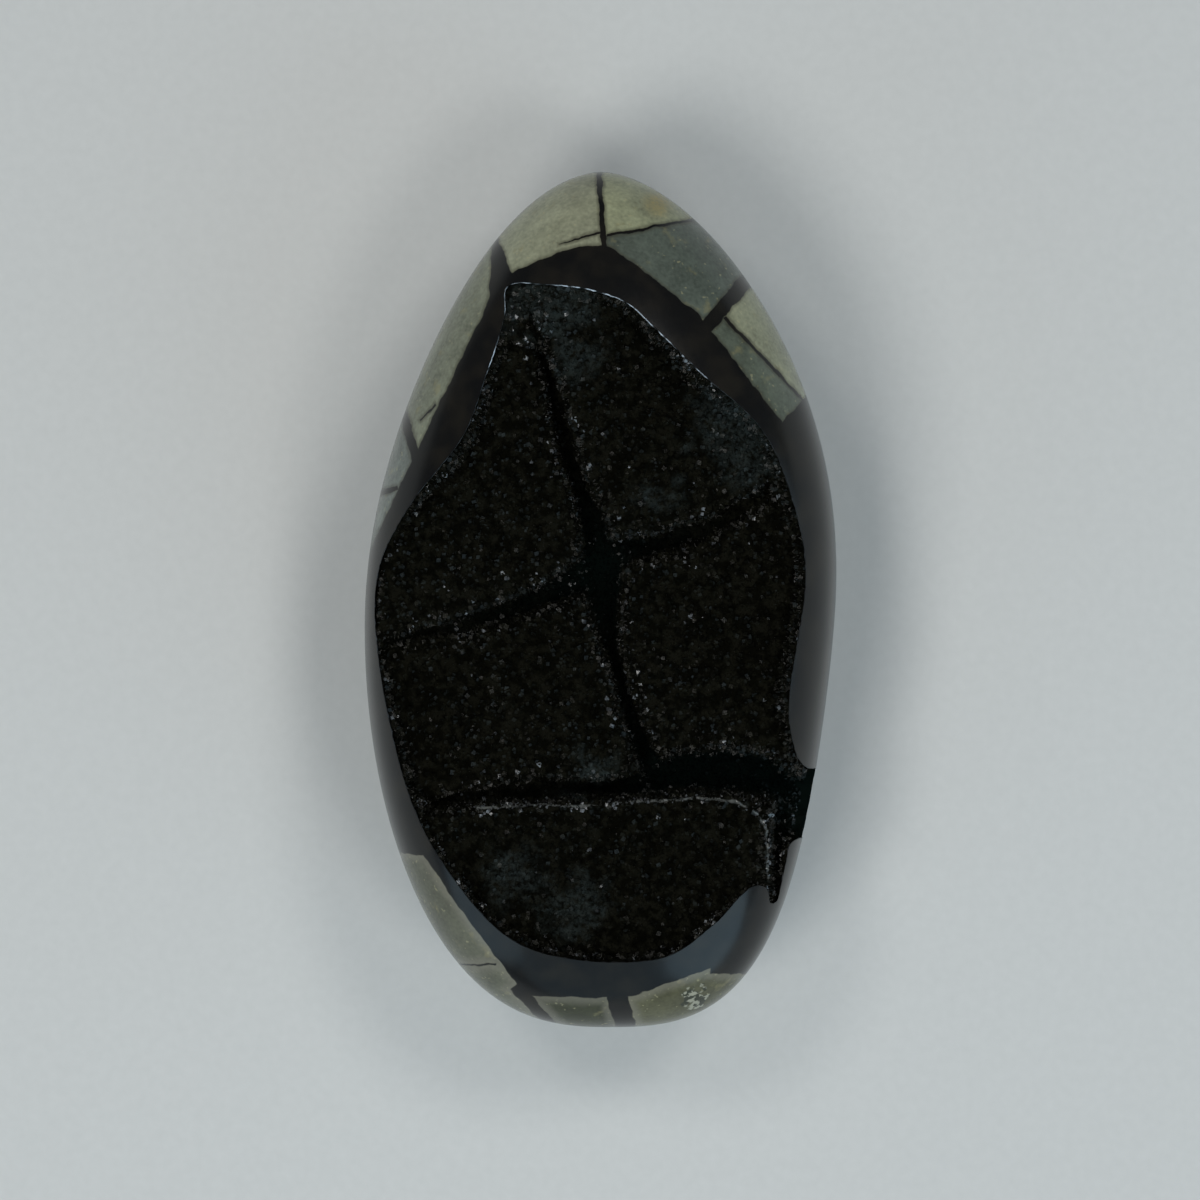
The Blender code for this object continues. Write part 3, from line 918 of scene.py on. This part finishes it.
calcite = make_rough_calcite(
    "rough_black_calcite", (0.0022, 0.0022, 0.0014), (0.007, 0.007, 0.005), 0.6, 0.0
)
bruised = make_bruised_and_glinting_calcite()
rim_plug = make_rim_plug()
hollow = add_grid("hollow_air", CUTTER_SPACING)
plan_x, plan_y, _ = corners_of(hollow).T
move_corners(hollow, (plan_x, plan_y, floor_height(plan_x, plan_y, 0)))
thicken_to(hollow, lambda x, y: np.full(len(x), AIR_TOP))
for cutter in (rim_plug, hollow):
    cutter.data.materials.append(stone)
for piece in (nodule, rim_plug, hollow):
    piece.data.materials.append(calcite)
    piece.data.materials.append(bruised)
for cutter in (rim_plug, hollow):
    cutter.data.polygons.foreach_set("material_index", [1] * len(cutter.data.polygons))
plug_x, plug_y, plug_z = corners_of(rim_plug).T
depth = plug_z - dome(plug_x, plug_y)
for face in rim_plug.data.polygons:
    levels = [depth[corner] for corner in face.vertices]
    if len(levels) == 4 and -BRUISED_DEPTH < min(levels) and max(levels) < 0:
        face.material_index = 2
boolean(rim_plug, "INTERSECT", hollow)
boolean(nodule, "DIFFERENCE", rim_plug)
nodule.select_set(True)
bpy.context.view_layer.objects.active = nodule
bpy.ops.object.shade_smooth_by_angle(angle=SMOOTH_ANGLE)
bpy.ops.object.select_all(action="DESELECT")
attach(nodule, "root")
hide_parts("nodule")

# The crystal crust
# A skin of black calcite, grown on every face of the hollow from the water that once filled it. It
# follows the blocks and cracks below it, and was ground flush where it reaches the polished side.
BED_SPACING = 0.55
BED_LIP = 0.9
BED_SLOPE = 3.6
GENTLE_SLOPE = 1.1
GENTLE_BANK = (-8, 44, 6)
BED_BEYOND = 0.8
BED_LUMPS = [(2.6, 0.2), (1.1, 0.1)]
BED_SINK = 0.05
BANK_RISE = 6
CRUST_CUT = 0.997


def bed_height(x, y):
    """Height of the crust's surface. It climbs to just under the lip at the edge of the hollow."""
    edge = inside_rim(x, y)
    height = floor_height(x, y, CRUST)
    middle_x, middle_y, radius = GENTLE_BANK
    gentle = np.clip((np.hypot(x - middle_x, y - middle_y) - radius) / radius, 0, 1)
    slope = GENTLE_SLOPE + (BED_SLOPE - GENTLE_SLOPE) * gentle
    bank = dome(x, y) - BED_LIP - slope * np.maximum(0, edge)
    height = np.maximum(height, np.minimum(bank, height + BANK_RISE))
    for size, rise in BED_LUMPS:
        height += rise * noise_at(x, y, size, 2.5)
    return np.minimum(height, dome(x, y) - BED_LIP)


bed = add_grid("crystal_bed", BED_SPACING)
plan_x, plan_y, _ = corners_of(bed).T
move_corners(bed, (plan_x, plan_y, bed_height(plan_x, plan_y)))
delete_faces(bed, inside_rim(*middles_of(bed)) < -BED_BEYOND)
skin = bed.copy()
skin.data = bed.data.copy()
skin.name = "crystal_skin"
bpy.context.scene.collection.objects.link(skin)
thicken_to(bed, lambda x, y: floor_height(x, y, 0) - BED_SINK)
bed.data.materials.append(calcite)
whole_egg = make_egg("whole_egg")
whole_egg.scale = (CRUST_CUT,) * 3
bpy.ops.object.transform_apply(scale=True)
boolean(bed, "INTERSECT", whole_egg)
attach(bed, "root")
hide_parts("crystal_crust")

# The crystals
# Blunt black calcite rhombs and dog teeth, under a millimetre each, grown so close that they hide the
# crust. They stand square to it, turned every way, and are one mass with it.
CRYSTAL_SPACING = 0.46
CRYSTAL_SIZE = 0.55
CRYSTAL_SIZES = (0.62, 1.3)
CRYSTAL_LEAN = math.radians(24)
CRYSTALS_TRIED = 2e6
TOOTH_WIDTH = 0.6
TOOTH_HEIGHT = 1.3
CLEARANCE = 0.05
BRIGHT_SIZE = 0.46
BRIGHT_SPACING = 0.6
RIM_GLINT = 0.7
RIM_GLINT_WIDTH = 0.9
CRACK_GLINT = 0.5
CRACK_GLINT_WIDTH = 1.6
GLINT_PATCH = 3.0
EVEN_GLINTS = 0.25
PATCHY_GLINTS = 1.1
LIP_GLINTS = 0.42
STRAY_GLINTS = 0.006
STEP_GLINTS = 0.2
LEDGE_GLINTS = 0.5
LEDGE_GLINT_WIDTH = 0.45
LEDGE_CRYSTALS = 0.6
TRENCH_START = 12
TRENCH_MIDDLE = -26.5
TRENCH_WIDTH = 3.2
EDGE_ROOM = 0.1
EDGE_HEIGHT = 0.5
EDGE_MARGIN = 1.05
crystal_faces = make_rough_calcite(
    "black_calcite_faces", (0.0026, 0.0027, 0.0017), (0.009, 0.009, 0.006), 0.18, 0.11
)
# The paler crystals of the lips and the ledge: their pale colour is a painted glint, beside their real
# gloss.
bright_faces = make_rough_calcite(
    "bright_calcite_faces", (0.02, 0.022, 0.024), (0.15, 0.165, 0.18), 0.12, 0.6
)


def crystal(name, angle, stretch, blunt, size=CRYSTAL_SIZE, faces=crystal_faces):
    """One crystal, its tip up: a rhomb stood on its corner, stretched, and blunted if it has a flat tip."""
    bpy.ops.mesh.primitive_cube_add(size=size * MM)
    bpy.context.object.rotation_euler = (math.radians(45), math.atan(1 / math.sqrt(2)), angle)
    piece = new_piece(name)
    bpy.ops.object.mode_set(mode="EDIT")
    bpy.ops.mesh.select_all(action="SELECT")
    bpy.ops.transform.resize(value=(1, 1, stretch))
    if blunt:
        height = size * MM * stretch * blunt
        bpy.ops.mesh.bisect(plane_co=(0, 0, height), plane_no=(0, 0, 1), use_fill=True, clear_outer=True)
    bpy.ops.object.mode_set(mode="OBJECT")
    piece.data.materials.append(faces)
    return piece


def dog_tooth(name, sides, tip, size=CRYSTAL_SIZE, faces=crystal_faces):
    """One crystal with a ring of steep faces."""
    bpy.ops.mesh.primitive_cone_add(
        vertices=sides,
        radius1=size * TOOTH_WIDTH * MM,
        radius2=size * tip * MM,
        depth=size * TOOTH_HEIGHT * MM,
    )
    piece = new_piece(name)
    piece.data.materials.append(faces)
    return piece


def select_only(piece):
    """Leaves this piece selected and active, and nothing else."""
    bpy.ops.object.select_all(action="DESELECT")
    piece.select_set(True)
    bpy.context.view_layer.objects.active = piece


def scatter(piece, shapes, spacing, seed):
    """Replaces the sheet with crystals standing on it."""
    tree = bpy.data.node_groups.new(piece.name, "GeometryNodeTree")
    tree.interface.new_socket("Sheet", in_out="INPUT", socket_type="NodeSocketGeometry")
    tree.interface.new_socket("Crystals", in_out="OUTPUT", socket_type="NodeSocketGeometry")
    start = Wire(tree)
    sheet = start.node("NodeGroupInput")
    points = start.node(
        "GeometryNodeDistributePointsOnFaces",
        {"distribute_method": "POISSON"},
        {
            "Mesh": sheet,
            "Distance Min": spacing * MM,
            "Density Max": CRYSTALS_TRIED / spacing**2,
            "Seed": seed,
        },
    )
    upright = Wire(tree, points.end.node.outputs["Rotation"])
    turn = start.node(
        "FunctionNodeRandomValue",
        {"data_type": "FLOAT_VECTOR"},
        {0: (-CRYSTAL_LEAN, -CRYSTAL_LEAN, 0), 1: (CRYSTAL_LEAN, CRYSTAL_LEAN, math.tau), "Seed": seed + 1},
    )
    turned = start.node(
        "FunctionNodeRotateRotation",
        {"rotation_space": "LOCAL"},
        {"Rotation": upright, "Rotate By": start.node("FunctionNodeEulerToRotation", sockets={0: turn})},
    )
    size = start.node(
        "FunctionNodeRandomValue",
        {"data_type": "FLOAT"},
        {2: CRYSTAL_SIZES[0], 3: CRYSTAL_SIZES[1], "Seed": seed + 2},
        output=1,
    )
    shape = start.node(
        "GeometryNodeCollectionInfo",
        sockets={"Collection": shapes, "Separate Children": True, "Reset Children": True},
    )
    placed = start.node(
        "GeometryNodeInstanceOnPoints",
        {},
        {"Points": points, "Instance": shape, "Pick Instance": True, "Rotation": turned, "Scale": size},
    )
    real = start.node("GeometryNodeRealizeInstances", sockets={0: placed})
    start.node("NodeGroupOutput", sockets={0: real})
    modifier = piece.modifiers.new("crystals", "NODES")
    modifier.node_group = tree
    select_only(piece)
    bpy.ops.object.modifier_apply(modifier=modifier.name)


def gather(name, pieces):
    """Moves the pieces to a new collection of their own."""
    shapes = bpy.data.collections.new(name)
    bpy.context.scene.collection.children.link(shapes)
    for piece in pieces:
        for holder in piece.users_collection:
            holder.objects.unlink(piece)
        shapes.objects.link(piece)
    return shapes


def lip_closeness(x, y):
    """1 on the lips of the cracks and of the hollow, falling to 0 a little way off."""
    best = np.abs(inside_rim(x, y) - RIM_GLINT) / RIM_GLINT_WIDTH
    for crack in CRACKS:
        distance, half, _ = nearest_on(crack, x, y)
        best = np.minimum(best, np.abs(distance - half - CRACK_GLINT) / CRACK_GLINT_WIDTH)
    return np.clip(1 - best, 0, 1)


def grown(name, chosen, shapes, spacing, seed):
    """A sheet of crystals over the chosen faces of the skin."""
    piece = skin.copy()
    piece.data = skin.data.copy()
    piece.name = piece.data.name = name
    bpy.context.scene.collection.objects.link(piece)
    delete_faces(piece, ~chosen)
    scatter(piece, shapes, spacing, seed)
    return piece


dark_shapes = gather(
    "dark_shapes",
    [
        crystal("rhomb", 0.4, 1.0, 0),
        crystal("steep_rhomb", 1.9, 1.25, 0),
        dog_tooth("tooth", 6, 0.06),
        dog_tooth("sharp_tooth", 5, 0),
    ],
)
bright_shapes = gather(
    "bright_shapes",
    [
        crystal("bright_rhomb", 1.1, 1.0, 0, BRIGHT_SIZE, bright_faces),
        crystal("bright_blunt_rhomb", 2.6, 0.9, 0.52, BRIGHT_SIZE, bright_faces),
        dog_tooth("bright_tooth", 6, 0.12, BRIGHT_SIZE, bright_faces),
    ],
)

face_x, face_y = middles_of(skin)
face_blocks = blocks_at(face_x, face_y)
in_sight = inside_rim(face_x, face_y) > EDGE_ROOM
in_sight &= dome(face_x * EDGE_MARGIN, face_y * EDGE_MARGIN) > EDGE_HEIGHT
closeness = lip_closeness(face_x, face_y)
patches = noise_at(face_x, face_y, GLINT_PATCH, 7.5)
chance = np.random.default_rng(8).random(len(face_x))
wanted = np.clip(closeness * (EVEN_GLINTS + PATCHY_GLINTS * patches), 0, 1)
glinting = chance < wanted * LIP_GLINTS + STRAY_GLINTS
ledge_far = nearest_on(LEDGE, face_x, face_y)[0]
glinting |= (ledge_far < LEDGE_GLINT_WIDTH) & (chance < LEDGE_GLINTS)
glinting |= (face_blocks == "side_step") & (chance < STEP_GLINTS)
glinting &= (face_x < TRENCH_START) | (np.abs(face_y - TRENCH_MIDDLE) > TRENCH_WIDTH)
# Fewer crystals on the ledge, so that its painted highlight shows.
in_sight &= (ledge_far > LEDGE_HIGHLIGHT_WIDTH) | (chance < LEDGE_CRYSTALS)
spacing = CRYSTAL_SPACING
for number, block in enumerate(BLOCKS):
    here = (face_blocks == block) & in_sight
    piece = grown("crystals_" + block, here, dark_shapes, spacing, 10 * number)
    bright = grown("bright_" + block, here & glinting, bright_shapes, BRIGHT_SPACING, 10 * number + 5)
    bright.select_set(True)
    piece.select_set(True)
    bpy.context.view_layer.objects.active = piece
    bpy.ops.object.join()
    x, y, z = corners_of(piece).T
    move_corners(piece, (x, y, np.minimum(z, dome(x, y) - CLEARANCE)))
    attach(piece, "root")
for helper in (*dark_shapes.objects, *bright_shapes.objects, skin, whole_egg, rim_plug, hollow):
    bpy.data.objects.remove(helper)
for shapes in (dark_shapes, bright_shapes):
    bpy.data.collections.remove(shapes)

# The floor, the lamps and the camera
# The egg lies on a plain pale table, lit by soft lamps, and the camera looks straight down on it.
FLOOR_SIZE = 12
PALE_GREY = (0.5, 0.515, 0.515)
PALER_GREY = (0.55, 0.565, 0.565)
PAPER_ROUGHNESS = 0.7
PAPER_IOR = 1.45
CAMERA_HEIGHT = 1.2
CAMERA_SHIFT = -0.08
PHOTO_WIDTH = 182.46
SENSOR = 36
WARM = (1, 0.98, 0.94)
COOL = (0.66, 0.95, 1.15)
ROOM = (0.09, 0.1, 0.11)
LAMPS = [
    ("key", 30, 225, 1.3, 11, 10, WARM),
    ("key_right", 30, 315, 1.3, 7, 10, WARM),
    ("key_left", 30, 135, 1.3, 7, 10, WARM),
    ("key_back", 30, 45, 1.3, 8, 10, WARM),
    ("low_left", 70, 222, 1.4, 20, 1.0, COOL),
    ("low_front", 68, 265, 1.4, 22, 0.42, COOL),
    ("low_right", 68, 312, 1.4, 24, 1.5, COOL),
    ("low_side", 76, 0, 1.4, 16, 0.7, COOL),
]
bpy.ops.mesh.primitive_plane_add(size=FLOOR_SIZE)
table = new_piece("table")
paper, start, shader = new_material("pale_table", PAPER_IOR)
shader.inputs["Roughness"].default_value = PAPER_ROUGHNESS
fibres = speckle(place_in_mm(start), 1.5, 4.0)
connect(shader, Base_Color=blend(PALE_GREY, PALER_GREY, fibres))
table.data.materials.append(paper)

for name, tilt, azimuth, far, spread, radiance, colour in LAMPS:
    tilt, azimuth = math.radians(tilt), math.radians(azimuth)
    level = math.sin(tilt)
    towards = Vector((level * math.cos(azimuth), level * math.sin(azimuth), math.cos(tilt)))
    bpy.ops.object.light_add(type="AREA", location=towards * far)
    lamp = bpy.context.object
    lamp.name = name
    lamp.rotation_euler = towards.to_track_quat("Z", "Y").to_euler()
    lamp.data.shape = "DISK"
    lamp.data.size = 2 * far * math.tan(math.radians(spread))
    lamp.data.energy = radiance * math.pi * math.pi * (lamp.data.size / 2) ** 2
    lamp.data.color = colour
    lamp.visible_camera = False

world = bpy.data.worlds.new("dim_room")
bpy.context.scene.world = world
world.use_nodes = True
world.node_tree.nodes["Background"].inputs["Color"].default_value = (*ROOM, 1)
bpy.context.scene.view_settings.view_transform = "Standard"

shift = CAMERA_SHIFT * MM
bpy.ops.object.camera_add(location=(shift, shift, WIDEST_LEVEL * MM + CAMERA_HEIGHT), rotation=(0, 0, 0))
camera = bpy.context.object
camera.data.sensor_width = SENSOR
camera.data.lens = SENSOR * CAMERA_HEIGHT / (PHOTO_WIDTH * MM)
bpy.context.scene.camera = camera
